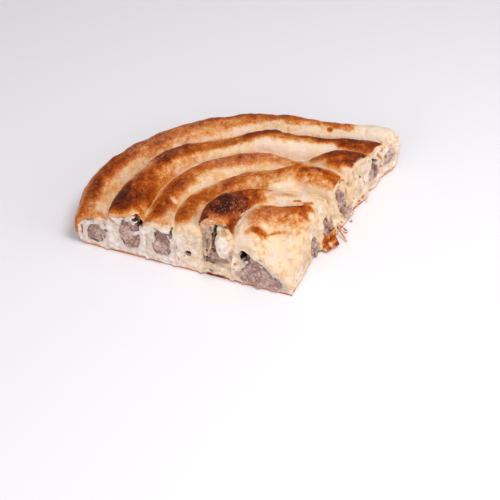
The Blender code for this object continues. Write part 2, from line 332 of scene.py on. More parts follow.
TORN_DOUGH = (
    Band(
        1, "left",
        ((153.5, 6, 0.2), (153.5, 12, 0.5), (152.6, 18, 0.5), (149.5, 22.6, 0), (145, 23.6, -0.1)),
        2.0, 0.9,
    ),
    Band(1, "left", ((145, 24, -0.3), (141.4, 22.8, -0.3), (139.6, 18.4, -0.6)), 1.8, 0.8),
    Band(2, "left", ((119.8, 36.8, -0.8), (117.6, 34.0, 0.2), (115.6, 31.4, 0.0)), 1.5, 0.9),
    Band(2, "left", ((121.5, 32.5, -0.4), (117.4, 31.8, 0.4), (113.4, 33.8, 0.2)), 1.1, 0.8),
    Band(2, "left", ((111.5, 25, 0), (114.0, 23.4, 0.5), (117.4, 22.6, 0.2)), 1.3, 0.9),
    Band(2, "left", ((126.8, 13, -0.4), (124.8, 8.5, 0.2), (121, 5.4, -0.2)), 1.4, 0.9),
    Band(3, "left", ((102.2, 27, -0.4), (100.4, 23, 0.2), (101.6, 18, -0.3)), 1.2, 0.8),
    Band(3, "left", ((103.5, 7.5, -0.2), (100.5, 6.8, 0.3), (96.5, 6.2, 0.2), (93, 6.8, -0.2)), 1.1, 0.8),
    Band(3, "left", ((99, 33.6, 0), (94.5, 31.0, 0.5), (90, 31.4, 0.2)), 1.2, 0.8),
    Band(5, "left", ((60.7, 34, -0.2), (60.2, 28, 0.3), (60.5, 23, 0)), 1.1, 0.8),
    Band(5, "left", ((63, 17.3, -0.2), (61, 21.2, 0.5), (58.6, 21.6, 0.5), (56.8, 18.6, 0)), 1.5, 0.9),
    Band(5, "left", ((60.8, 9.4, 0.4), (57.8, 8.4, 0.8)), 2.7, 1.7),
    Band(5, "left", ((54.8, 10, 0.5), (51.8, 8.4, 0.8)), 2.7, 1.8),
    Band(5, "left", ((49.6, 9.4, 0.6), (47.6, 7.2, 0.5)), 2.3, 1.6),
    Band(5, "left", ((61.4, 4.4, 0.2), (56.4, 3.6, 0.6)), 1.8, 1.2),
    Band(5, "left", ((65.2, 40, -0.4), (64.0, 35, 0), (63.4, 31.6, 0)), 1.6, 1.2),
    Band(5, "left", ((49.0, 20.6, 0), (51.5, 18.2, 0.6), (54.6, 17.2, 0.4)), 1.5, 1.0),
    Band(6, "left", ((43.4, 24, -0.4), (42.4, 19, 0.5), (42.6, 14, 0.5), (43.4, 9, 0)), 1.5, 1.0),
    Band(6, "left", ((41.5, 12, 0), (37.7, 14.5, 0.8), (35, 18.5, 0.9), (32.4, 22.2, 0.4)), 1.7, 1.0),
    Band(6, "left", ((40.5, 9.2, 0.2), (38.6, 5.8, 0.8), (35.6, 2.6, 0.9), (32.6, 3.6, 0.5)), 1.4, 1.0),
    Band(6, "left", ((24, 22, -0.3), (22.2, 19.4, 0.3)), 1.4, 0.8),
    Band(6, "left", ((15.5, 16.4, -0.2), (13.8, 13.9, 0.3)), 1.3, 0.8),
    Band(1, "right", ((152, 30, -0.3), (154, 22, 0.5), (154.5, 12, 0.5), (153, 4, 0)), 1.7, 0.9),
    Band(1, "right", ((141, 31, -0.3), (139.5, 22, 0.6), (140.5, 12, 0.7), (140, 4, 0)), 1.6, 0.9),
    Band(
        2, "right",
        ((126.4, 34.5, 0), (130, 27.5, 0.9), (130, 20.5, 1.1), (132, 12, 0.8), (131, 3, 0.3)),
        1.6, 1.0,
    ),
    Band(2, "right", ((113, 40, -0.2), (111.5, 30, 0.8), (112.5, 18, 1.0), (113, 6, 0.4)), 1.6, 0.9),
    Band(2, "right", ((117.6, 38, 0), (116.4, 34, 0.6), (115.4, 31, 0.3)), 1.3, 0.9),
    Band(3, "right", ((106, 36, -0.2), (104, 26, 1.2), (106.5, 14, 1.2), (107, 4, 0.5)), 1.8, 0.9),
    Band(3, "right", ((99.5, 38, -0.2), (98, 28, 0.9), (96.4, 16, 1.1), (97, 5, 0.5)), 1.5, 0.9),
    Band(3, "right", ((92, 35, -0.2), (90.5, 24, 0.9), (88.5, 12, 0.9)), 1.5, 0.9),
    Band(4, "right", ((86.5, 36, -0.2), (89, 26, 0.8), (89.5, 17, 0.6)), 1.4, 0.9),
    Band(4, "right", ((71.5, 32, 0), (70.6, 22, 0.7), (71.5, 10, 0.8), (77, 3, 0.5)), 1.5, 0.9),
    Band(5, "right", ((63, 36, -0.2), (64.5, 26, 0.7), (63.5, 18, 0.7)), 1.4, 0.9),
    Band(5, "right", ((53.5, 34, -0.2), (52.4, 24, 0.6), (51.6, 12, 0.7)), 1.4, 0.9),
    Band(6, "right", ((43, 32, -0.2), (44, 22, 0.6), (43.6, 14, 0.5)), 1.4, 0.9),
    Band(6, "right", ((30.4, 30, -0.2), (30.2, 19, 0.6), (31, 8, 0.5)), 1.3, 0.9),
)
# A flake that hangs out of the right cut, and strips of it that reach down beside the wedge
FLAKE = (
    Band(5, "right", ((50, 6.0, 0.4), (55, 5.4, 2.4), (61, 5.6, 3.2)), 1.7, 0.5),
    Band(5, "right", ((53, 8.0, 1.0), (59, 8.2, 2.8), (66, 7.6, 3.4), (71, 7.4, 2.6)), 1.2, 0.5),
    Band(5, "right", ((60, 5.6, 3.2), (65, 5.4, 4.0), (70.5, 6.0, 3.0)), 1.2, 0.5),
    Band(5, "right", ((71, 7.2, 2.8), (69.4, 5.0, 5.6), (67.2, 2.6, 9.4), (64.8, 1.0, 13.0)), 0.8, 0.7),
    Band(5, "right", ((74, 5.4, 1.0), (75, 3.6, 4.6), (74.6, 1.0, 8.6)), 0.6, 0.6),
)

# The dough that fills the foot of each groove at the left cut: radius, beside the turn that it joins
FOOT_SEAMS = ((1, 137.8), (2, 106.7), (3, 85.9), (4, 66.4), (6, 43.4))
SEAM_BAND = 2.3

STRAY_MEAT = (
    Band(5, "left", ((58.2, 19.4, 0.2), (57.6, 17.2, 0.2)), 1.8, 1.0),
    Band(6, "left", ((37.4, 11, -0.2), (34, 9.5, 0), (31.5, 15, 0)), 2.3, 1.0),
    Band(6, "left", ((34, 5, -0.2), (26, 3.4, 0.2), (18, 2.8, 0.2), (11, 2.2, 0)), 2.6, 1.2),
    Band(2, "right", ((116.4, 27.8, 0.2), (115.3, 25.0, 0.2)), 2.0, 1.1),
    Band(2, "right", ((119.8, 21, 0.2), (118.6, 17.4, 0.3)), 2.0, 1.1),
    Band(2, "right", ((125.0, 22.4, 0.2), (126.6, 17.6, 0.4), (127.0, 13.6, 0.3)), 2.1, 1.2),
    Band(4, "right", ((76, 34.5, 0), (77.5, 30, 0.5), (80.5, 26.5, 0.5)), 2.5, 1.3),
    Band(4, "right", ((83, 9, 0.3), (89.3, 11.6, 0.4)), 2.0, 1.1),
    Band(4, "right", ((86.5, 5, 0.2), (92.6, 3.8, 0.2)), 1.6, 0.9),
    Band(5, "right", ((61.8, 14.5, 0.2), (66.6, 8.4, 0.3)), 1.9, 1.0),
    Band(5, "right", ((57.6, 7.6, 0.2), (60, 4.8, 0.2)), 1.8, 1.0),
    Band(6, "right", ((38, 19.8, 0), (38.4, 16, 0.4)), 2.2, 1.2),
    Band(6, "right", ((40.6, 10, 0.3), (48.2, 6.9, 0.3)), 2.1, 1.1),
    Band(6, "right", ((41, 7, 0.2), (43, 1.6, 0.2)), 2.1, 1.1),
)


def on_cut(band, place):
    radius, height, out = place
    angle = LEFT_CUT if band.side == "left" else RIGHT_CUT
    cut = getattr(ROPES[band.turn], band.side)
    point = TIP + radius * outwards_at(angle) + height * UP
    return point + ((cut.point - point) @ cut.normal + out) * cut.normal


def add_band(mesh, band):
    """Beads, flattened against the cut, strung along the band so closely that they merge."""
    normal = getattr(ROPES[band.turn], band.side).normal
    turned = Vector(normal).to_track_quat("Z", "Y")
    size = Vector((band.width, band.width, band.thickness)) * MM
    points = [on_cut(band, place) for place in band.places]
    for start, end in zip(points, points[1:]):
        steps = max(1, round(np.linalg.norm(end - start) / (BEAD_STEP * band.width)))
        for step in range(steps + 1):
            place = start + (end - start) * step / steps
            matrix = Matrix.LocRotScale(Vector(place * MM), turned, size)
            bmesh.ops.create_icosphere(mesh, subdivisions=2, radius=1.0, matrix=matrix)


# The crust's mesh

def cut_away(mesh, cut, inwards):
    """Take off what lies nearer to a cut than the stuffing's depth, and close the end."""
    normal = Vector(around_at(cut)) * inwards
    start = Vector(TIP * MM) + normal * STUFFING_DEPTH * MM
    geometry = mesh.verts[:] + mesh.edges[:] + mesh.faces[:]
    bmesh.ops.bisect_plane(mesh, geom=geometry, plane_co=start, plane_no=normal, clear_inner=True)
    bmesh.ops.holes_fill(mesh, edges=mesh.edges, sides=0)


def fused_crust():
    """All turns baked into one piece, with the filling's tunnels open only near the cuts."""
    joined = bmesh.new()
    for number in TURNS:
        turn = solid_of(f"pastry_turn_{number}")
        grow(turn, JOIN)
        stuffing = solid_of(f"meat_strand_{number}")
        grow(stuffing, STUFFING_GROWTH)
        cut_away(stuffing, LEFT_CUT, -1)
        cut_away(stuffing, RIGHT_CUT, 1)
        for mesh in (turn, stuffing):
            data = bpy.data.meshes.new("part")
            mesh.to_mesh(data)
            mesh.free()
            joined.from_mesh(data)
            bpy.data.meshes.remove(data)
    seams = [
        Band(turn, "left", ((radius, 1.5, -0.8), (radius, 1.3, -14)), SEAM_BAND, SEAM_BAND)
        for turn, radius in FOOT_SEAMS
    ]
    for band in (*TORN_DOUGH, *seams):
        add_band(joined, band)
    item = to_object(joined, "crust")
    remesh(item, VOXEL)
    drop_specks(item)
    smooth(item, SMOOTHING)
    return item


def tops_of(item):
    mesh = bmesh.new()
    mesh.from_mesh(item.data)
    heights = heights_over(BVHTree.FromBMesh(mesh))
    mesh.free()
    return heights


# The lower edge of the baked skin on the left cut: radius and height, very high where there is no skin
NO_SKIN = 50
SKIN_LINE = np.array((
    (0, 60), (40, 60), (41.5, 42), (46, 42.5), (49, 43), (54, 42.4), (58, 42), (60.5, 45), (65.5, 44.6),
    (66.5, 60), (82.5, 60), (85, 37), (100.7, 35.9), (104.5, 39), (107.7, 42.2), (113, 39.6), (117.7, 37.2),
    (123.9, 34.3), (133.2, 31.4), (136.6, 26.5), (141, 27.9), (147.3, 26), (153.8, 23), (159, 17.5),
    (160.4, 13), (161.6, 6), (162.4, -2), (168, -12),
))

# How deep below the cuts the dough still counts as cut
LEFT_FACE_DEPTH = 2.4
RIGHT_FACE_DEPTH = 1.6

Place = namedtuple("Place", (
    "angle radius height number side arc depth over wall bottom "
    "left right left_face right_face tunnel crumb"
))


def survey(points, normals, heights):
    """What the looks need to know of each point of the crust."""
    across = points - TIP
    radius = np.hypot(across[:, 0], across[:, 1])
    angle = np.degrees(np.arctan2(across[:, 1], across[:, 0]))
    height = points[:, 2]
    number, side = turn_at(angle, radius)
    inset = np.degrees(1.5 / np.maximum(radius, 6))
    inside = np.clip(angle, RIGHT_CUT + inset, LEFT_CUT - inset)
    depth = cover_over(heights, inside, radius) - height
    left, right = np.zeros(len(points)), np.zeros(len(points))
    left_look, right_look = np.zeros(len(points)), np.zeros(len(points))
    for turn in TURNS:
        mine = number == turn
        for cut, distance, look in (
            (ROPES[turn].left, left, left_look),
            (ROPES[turn].right, right, right_look),
        ):
            distance[mine] = (cut.point - points[mine]) @ cut.normal
            look[mine] = normals[mine] @ cut.normal
    outwards = (normals[:, :2] * across[:, :2]).sum(axis=1) / np.maximum(radius, 0.1)
    wall = smooth_step(side, 0.45, 0.75) * (number == 1) * smooth_step(outwards, 0.1, 0.5)
    bottom = smooth_step(-normals[:, 2], 0.5, 0.8) * (1 - smooth_step(height, 0.6, 1.6))
    over = height - np.interp(radius, *SKIN_LINE.T)
    over = over + noise_at(points, 4, 40) + 0.6 * noise_at(points, 1.8, 43)
    bare = 1 - smooth_step(over, -0.5, 0.8)
    faces = []
    for distance, look, reach in ((left, left_look, LEFT_FACE_DEPTH), (right, right_look, RIGHT_FACE_DEPTH)):
        near = (1 - smooth_step(distance, 0.6, reach)) * smooth_step(look, 0.25, 0.6)
        faces.append(np.maximum(near, smooth_step(-distance, 0.6, 1.4)) * (1 - bottom))
    faces[0] = faces[0] * bare
    near_cut = 1 - smooth_step(np.minimum(left, right), STUFFING_DEPTH, STUFFING_DEPTH + 3)
    tunnel = smooth_step(depth, 2, 4) * near_cut * (1 - wall) * (1 - bottom)
    tunnel *= np.where(left < right, np.maximum(bare, smooth_step(left, 3.5, 6)), 1)
    crumb = np.maximum(np.maximum(*faces), tunnel)
    arc = np.radians(angle) * TURN_RADII[number]
    return Place(
        angle, radius, height, number, side, arc, depth, over, wall, bottom,
        left, right, *faces, tunnel, crumb,
    )


# Strokes on the crust, from one place to another, with the turn that they stay on
Stroke = namedtuple("Stroke", "turn angle radius to_angle to_radius width level")
STROKE_CORE = 0.2
STROKE_EDGE = 1.4


def strokes_of(rows):
    return [Stroke(turn, *row) for turn, strokes in rows.items() for row in strokes]


BAKING = strokes_of({
    1: (
        (160, 154, 153, 156, 10, 0.54), (159, 144, 150, 146, 4, 0.25),
        (159, 160, 154, 161, 4, 0.68), (154, 153, 147, 163, 5, 0.74), (150, 163, 136, 165, 6, 0.66),
        (146, 155, 138, 157, 6, 0.64), (154, 147, 137, 148, 4, 0.31), (136, 160, 124, 160, 8, 0.62),
        (134, 151, 124, 151, 6, 0.43), (130, 153, 123, 153, 3, 0.62), (123, 157, 112, 156, 8, 0.55),
        (122, 146, 112, 145, 4, 0.30), (110, 158, 101, 157, 6, 0.70), (110, 149, 96, 148, 6, 0.39),
        (106, 142, 96, 141.5, 3, 0.15), (100, 154, 89, 150, 6, 0.64), (97, 142, 86, 140, 4, 0.18),
        (88, 148, 76, 146, 7, 0.54), (90, 143.5, 80, 141.5, 3, 0.42), (84, 138, 70, 135, 4, 0.18),
        (77.7, 137.8, 77.2, 137.8, 2.0, 0.62), (78, 147, 71, 145, 5, 0.54),
        (66, 146, 58, 146, 16, 0.06),
    ),
    2: (
        (159, 124, 150, 125, 14, 0.86), (157, 132, 152, 128, 7, 0.92),
        (149, 126, 146, 126, 9, 0.74), (146, 124, 136, 125, 8, 0.60),
        (147, 136, 137, 137, 3.5, 0.20), (134, 133, 122, 132, 9, 0.76),
        (127, 128, 124, 128, 3.5, 0.56), (140, 121.5, 118, 121.5, 3, 0.30),
        (119, 137, 112, 135, 3, 0.20), (120, 129, 103, 129, 6, 0.54), (118, 119, 98, 117, 4, 0.16),
        (102.5, 129, 94, 128, 6.5, 0.80), (91, 129, 90, 130, 3, 0.36),
        (91, 126, 80, 126.5, 4.5, 0.62), (96, 114, 68, 114, 5, 0.10), (79, 125, 62, 127, 7, 0.84),
        (72, 119, 63, 121, 3.5, 0.70), (71, 131, 62, 133, 5, 0.90),
    ),
    3: (
        (159, 103, 155, 100, 8, 0.46), (157, 95, 150, 96, 3, 0.22), (153, 103, 146, 104, 8, 0.64),
        (145, 99, 143, 106, 2, 0.16), (142, 108, 130, 109, 7, 0.64), (130, 111, 116, 112, 6, 0.52),
        (128, 100, 116, 99, 5, 0.22), (118, 107, 104, 106.5, 6, 0.56),
        (101, 105.5, 92, 103, 5.5, 0.48), (92, 101, 86, 98, 4, 0.40), (84, 103, 81, 98, 3, 0.22),
        (80, 103, 72, 101, 5, 0.54), (73, 104, 61, 107.5, 6, 0.82), (75, 94, 68, 93.5, 2.5, 0.24),
        (73, 96, 69, 96, 3.0, 0.60), (67, 98.5, 62, 99, 3.5, 0.66),
    ),
    4: (
        (160, 74, 154, 76, 10, 0.16), (153, 84, 136, 88, 8, 0.56), (136, 93, 128, 94, 3.5, 0.14),
        (135, 85, 112, 86, 7, 0.58), (124, 76, 104, 76, 3, 0.40), (113, 84, 100, 84, 5, 0.47),
        (112, 81.5, 107, 81.5, 2.5, 0.34), (104, 86, 96, 84, 3, 0.38),
        (95, 85, 86, 85.5, 4.5, 0.50), (85, 80, 66, 79, 5.5, 0.54), (84, 83, 76, 83.5, 2.6, 0.78),
        (76, 83, 67, 80, 2.6, 0.74), (78, 79, 75, 78.5, 2.5, 0.48), (82, 74.5, 68, 74, 2.5, 0.34),
        (69, 82, 62, 81, 4.5, 0.54), (100, 71, 86, 69, 4, 0.10),
    ),
    5: (
        (152, 63, 126, 65, 14, 0.92), (126, 64, 115, 65, 9, 0.84), (152, 50, 134, 53, 3.5, 0.74),
        (158, 47.5, 140, 50, 3, 0.68), (115, 66, 106, 65, 8, 0.64), (106, 64, 98, 63, 6, 0.36),
        (97, 60, 68, 58, 9, 0.12), (100, 62, 88, 60.5, 2.5, 0.30), (88, 54.5, 84, 54.8, 1.3, 0.50),
        (80, 53.2, 75, 55.5, 1.5, 0.48),
    ),
    6: (
        (160, 20, 72, 10, 22, 0.17), (160, 38, 150, 40, 10, 0.15),
        (145, 37.5, 136, 35.5, 2.6, 0.34), (134, 34, 130.5, 30, 3.6, 0.66),
        (137.6, 28.5, 134, 29.5, 1.6, 0.42), (126, 28.2, 114, 28, 1.1, 0.44),
        (114, 28, 100, 26.8, 0.9, 0.40), (100, 26.7, 79, 25.4, 0.7, 0.24),
        (153, 49, 134, 54, 3.4, 0.64), (151, 22, 140, 18, 1.2, 0.24), (112, 13, 100, 12, 1.6, 0.20),
        (126, 44, 112, 45, 6, 0.44), (112, 43.5, 98, 41.5, 6.5, 0.54), (100, 41, 79, 40, 6.5, 0.54),
        (111, 36.5, 100, 35.5, 2.5, 0.36), (92, 35, 79, 34, 2.5, 0.36),
        (93, 46.5, 82, 45.5, 3, 0.80), (70, 40, 66, 40, 3, 0.08),
    ),
})

# Dry, floury skin that split into pale flecks
DRYNESS = strokes_of({
    1: (
        (136, 155, 112, 155, 9, 0.7), (160, 149, 139, 147, 6, 0.8), (108, 150, 92, 150, 6, 0.3),
    ),
    2: (
        (146, 133, 131, 133, 4, 0.8), (128, 130, 126, 131, 3, 0.5),
    ),
    3: (
        (157, 95, 151, 96, 4, 0.7), (142, 106, 120, 108, 8, 0.2), (120, 106, 94, 104, 9, 0.8),
    ),
    4: (
        (130, 88, 100, 88, 6, 0.4), (80, 82, 76, 82, 3, 0.5),
    ),
    5: (
        (150, 60, 130, 60, 7, 0.9),
    ),
    6: (
        (126, 46, 100, 44, 8, 0.6),
    ),
})

# How far the skin's edge rolls back from the left cut, by the square of the height over its lower edge
ROLLED_EDGE = 0.045
ROLL_HEIGHT = 8
RIM_ROLL = 0.4

# Creases, dents and folds, in millimetres
RELIEF = strokes_of({
    1: (
        (67.0, 143, 66.6, 139, 0.9, -1.4), (152.5, 150, 149, 145, 3, -1.0),
        (134, 146, 131, 143, 3, -0.9), (110, 150, 109, 142, 2.5, -0.6),
    ),
    2: (
        (92, 134, 91, 122, 2.5, -0.8), (121, 134, 118, 126, 3, -0.8),
    ),
    3: (
        (145, 99, 143, 107, 2.4, -0.9), (83, 106, 81, 98, 2.5, -0.7),
    ),
    4: (
        (101, 88, 97, 80, 2.5, -0.6), (87.0, 79, 84.1, 83.4, 1.7, -1.3),
        (84.1, 83.4, 79.5, 86.1, 1.7, -1.3), (79.5, 86.1, 73.8, 86.5, 1.7, -1.1),
        (82, 79.5, 72, 78.5, 5, 0.9),
    ),
    5: (
        (74, 60, 67, 57, 1.0, -0.7), (88, 53.5, 76, 55.5, 2.0, 0.8),
    ),
    6: (
        (152, 32, 143, 27, 1.4, -0.5), (126, 20, 116, 13, 2.0, -0.4), (92, 22, 84, 14, 2.0, -0.5),
        (104, 23, 98, 15, 1.6, 0.4), (126, 29.5, 94, 25.5, 1.1, -0.7),
        (124, 27, 96, 22.5, 1.5, 0.5), (143, 47, 131, 49.5, 1.2, -0.5),
        (150, 41, 138, 46, 1.4, 0.5),
    ),
})


def paint(here, strokes, values, warp):
    """Lay the strokes over the values, one after the other."""
    values = values.copy()
    for stroke in strokes:
        scale = math.radians((stroke.radius + stroke.to_radius) / 2)
        start, end = (stroke.angle * scale, stroke.radius), (stroke.to_angle * scale, stroke.to_radius)
        reach = reach_of(here.angle * scale, here.radius, start, end, stroke.width) + warp
        cover = (1 - smooth_step(reach, STROKE_CORE, STROKE_EDGE)) * (here.number == stroke.turn)
        values += (stroke.level - values) * cover
    return values


# Slits and creases in the left cut: radius and height of both ends, width, and depth into the dough
Slit = namedtuple("Slit", "radius height to_radius to_height width depth")


def slits_of(rows):
    return [Slit(*row) for row in rows]


SLITS = slits_of((
    (106.4, 34, 106.8, 4, 1.5, 0.6), (86.0, 30, 85.5, 4, 1.5, 0.5), (66.2, 34, 65.6, 4, 1.5, 0.6),
    (137.6, 26, 138.4, 4, 1.5, 0.7), (139.4, 25.6, 138.4, 22, 0.8, 1.8),
    (139.4, 18, 137.4, 16.5, 1.0, 3.0), (155.9, 18, 156.7, 9, 0.8, 1.0),
    (114.4, 38.6, 107.0, 42.0, 1.8, 6.0), (113.0, 38.0, 110.8, 31.0, 2.0, 5.5),
    (123.2, 34.0, 121.2, 29.0, 0.7, 1.8), (129.4, 27.4, 128.6, 26.6, 0.8, 1.4),
    (99.5, 31.6, 93.7, 28.7, 1.1, 4.5), (93.7, 28.7, 87.8, 29.7, 1.2, 4.5),
    (87.9, 35.4, 87.8, 29.7, 1.2, 4.5), (102.8, 4.4, 102.4, 3.6, 0.8, 1.6),
    (76.8, 15.3, 75.4, 15.8, 1.7, 4.0), (78.4, 12.9, 78.8, 12.6, 0.8, 2.0),
    (84.6, 19, 84.4, 17, 0.8, 1.6), (83.6, 10.4, 83.0, 7.4, 0.8, 1.6),
    (76.0, 28.6, 74.0, 28.2, 0.6, 1.2), (74.5, 18.2, 74.1, 17.4, 0.7, 1.6),
    (58.1, 41.2, 59.4, 33, 1.2, 5.0), (59.4, 33, 58.8, 23.7, 0.9, 4.0),
    (58.1, 41.2, 47.6, 41.4, 0.9, 2.6), (61.8, 39.4, 61.4, 36.4, 0.8, 1.0),
    (63.6, 28, 64.2, 21.6, 0.5, 1.0), (55.6, 21.0, 54.6, 20.4, 0.9, 3.0),
    (64.0, 13.3, 56.0, 13.0, 1.1, 2.4), (56.0, 13.0, 47.4, 14.8, 1.1, 2.2),
    (44.4, 28.0, 44.6, 21.0, 0.8, 1.6), (59.0, 6.0, 58.4, 4.8, 0.9, 1.4),
    (160.0, 15, 159.0, 6, 0.8, 0.9), (32.0, 27.4, 22.0, 20.6, 0.9, 2.4),
    (22.0, 20.6, 14.6, 14.4, 0.9, 2.2), (14.6, 14.4, 8.0, 7.0, 0.8, 1.8),
    (36.6, 5.2, 35.2, 4.0, 1.2, 3.0), (36.2, 24.4, 34.4, 26.6, 2.2, 5.5),
    (165, 2.6, 66, 2.6, 0.7, 0.5),
))

# The same in the right cut
RIGHT_SLITS = slits_of((
    (118.8, 30.0, 124.0, 27.2, 3.2, 5.5), (123.4, 25.0, 124.6, 20.4, 1.5, 3.0),
    (123.7, 24.0, 123.6, 22.2, 1.0, 2.0), (141.8, 21.0, 141.9, 19.6, 0.8, 1.6),
    (76.4, 31.4, 77.2, 29.0, 1.0, 2.0), (61.2, 21.0, 61.2, 18.6, 1.2, 2.0),
    (126.0, 13.0, 125.8, 11.6, 0.9, 1.6), (106.4, 30.0, 107.0, 6.0, 1.2, 1.6),
    (86.8, 34.0, 87.4, 24.0, 1.0, 1.4), (67.0, 33.0, 67.6, 14.0, 1.2, 1.6),
    (135.6, 30.0, 136.2, 6.0, 1.2, 1.4),
))
KNOB = Slit(51.8, 33.5, 51.0, 24.5, 6.4, 0)
MOAT_DEPTH = 1.6


Spot = namedtuple("Spot", "radius height")


def near_slit(here, slit, warp):
    start, end = (slit.radius, slit.height), (slit.to_radius, slit.to_height)
    return 1 - smooth_step(reach_of(here.radius, here.height, start, end, slit.width) + warp, 0.3, 1.2)


def slits_at(here, slits, warp):
    """How deep the slits go at each place."""
    depth = np.zeros(len(here.radius))
    for slit in slits:
        depth = np.maximum(depth, slit.depth * near_slit(here, slit, warp))
    return depth


def moat_at(here, warp):
    """How deep the ditch round the knob of dough is at each place."""
    start, end = (KNOB.radius, KNOB.height), (KNOB.to_radius, KNOB.to_height)
    reach = reach_of(here.radius, here.height, start, end, KNOB.width) + 0.15 * warp
    moat = smooth_step(reach, 0.86, 1.05) * (1 - smooth_step(reach, 1.12, 1.45))
    return MOAT_DEPTH * moat


def drawn_noise(here, way, length, width, seed):
    """Noise drawn out at an angle to the rope."""
    turned = math.radians(way)
    along = here.arc * math.cos(turned) - here.radius * math.sin(turned)
    across = here.arc * math.sin(turned) + here.radius * math.cos(turned)
    drawn = np.stack((along / length, across / width, here.height / width + 7 * here.number), axis=1)
    return noise_at(drawn, 1, seed)


def blisters_at(points, here):
    """How far the crust swells and sinks."""
    swells = 0.9 * noise_at(points, 14, 1) + 0.42 * noise_at(points, 5, 2)
    return swells + 0.22 * drawn_noise(here, TWIST, 14, 3.2, 9)


def meat_tree():
    joined = bmesh.new()
    for number in TURNS:
        joined.from_mesh(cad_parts[f"meat_strand_{number}"].data)
    tree = BVHTree.FromBMesh(joined)
    joined.free()
    return tree


def beside_meat(points, crumb):
    """Distance to the meat from the points in the dough, and the way from it."""
    tree = meat_tree()
    distance = np.full(len(points), 50.0)
    away = np.zeros((len(points), 3))
    for index in np.nonzero(crumb > 0.1)[0]:
        hit = np.array(tree.find_nearest(Vector(points[index] * MM))[0]) / MM
        across = points[index] - hit
        distance[index] = np.linalg.norm(across)
        away[index] = across / max(distance[index], 0.1)
    return distance, away


def dough_relief(points, here, distance):
    """Soft folds, upright fibres and a few pores, with torn lumps and sheets in the right cut."""
    upright = points * (1, 1, 0.25)
    calm = near_slit(here, KNOB, 0) * here.left_face
    folds = 0.75 * noise_at(points, 7, 5) + 0.42 * noise_at(points, 3.4, 7)
    folds = folds + 0.28 * noise_at(upright, 1.8, 8)
    pores = -0.6 * smooth_step(noise_at(points, 2.6, 4), 0.4, 0.7)
    torn = points * (1, 1, 0.3)
    sheets = 0.9 * ridges_at(torn, 8, 6) + 0.45 * noise_at(torn, 2.6, 17) + 1.1 * noise_at(points, 7, 18)
    near_meat = smooth_step(distance, 0.5, 3.5)
    return (folds + pores) * (1 - 0.8 * calm) + sheets * here.right_face * near_meat


def rough_crust(item, heights):
    """Blisters, wrinkles and flakes on the crust; folds, slits and crags in the cut dough."""
    points, normals = points_of(item.data), normals_of(item.data)
    here = survey(points, normals, heights)
    fine = noise_at(points, 2.2, 3)
    coarse = noise_at(points, 5, 2)
    dry = paint(here, DRYNESS, np.zeros(len(points)), 0.3 * coarse)
    skin = blisters_at(points, here) + (0.16 + 0.15 * dry) * fine
    skin = skin + (0.08 + 0.1 * dry) * noise_at(points, 1.5, 8)
    skin += paint(here, RELIEF, np.zeros(len(points)), 0.2 * coarse)
    distance, away = beside_meat(points, here.crumb)
    dough = dough_relief(points, here, distance)
    dough += 0.7 * ridges_at(points, 4.5, 19) * (1 - smooth_step(here.depth, 1, 5)) * here.left_face
    shift = skin * (1 - here.crumb) + dough * here.crumb
    walls = here.tunnel * (1 - np.maximum(here.left_face, here.right_face))
    shift -= walls * (0.2 + 0.9 * noise_at(points, 6, 14))
    shift *= smooth_step(here.height, 0.4, 2.5)
    lips = 1 - smooth_step(distance, 1, 5)
    points += away * (lips * here.crumb * 1.4 * noise_at(points, 4.5, 20))[:, None]
    points += normals * shift[:, None]
    crooked = 0.25 * fine + 0.2 * coarse
    slits = np.maximum(slits_at(here, SLITS, crooked), moat_at(here, crooked)) * here.left_face
    right_slits = slits_at(here, RIGHT_SLITS, crooked) * here.right_face
    rolled = ROLLED_EDGE * np.clip(here.over, 0, ROLL_HEIGHT) ** 2
    rolled = rolled * (1 - smooth_step(here.left, 0.5, 5)) * (1 - here.wall)
    rolled *= np.where(here.number == 1, RIM_ROLL, 1)
    slits += np.where(np.interp(here.radius, *SKIN_LINE.T) < NO_SKIN, rolled, 0)
    for turn in TURNS:
        mine = here.number == turn
        points[mine] -= ROPES[turn].left.normal * slits[mine, None]
        points[mine] -= ROPES[turn].right.normal * right_slits[mine, None]
    points[:, 2] = np.maximum(points[:, 2], 0)
    put_points(item.data, points)


# Marks on the cuts: the side, radius and height of both ends, width and level
Mark = namedtuple("Mark", "side radius height to_radius to_height width level")


def marks_of(rows):
    return [Mark(side, *row) for side, marks in rows.items() for row in marks]


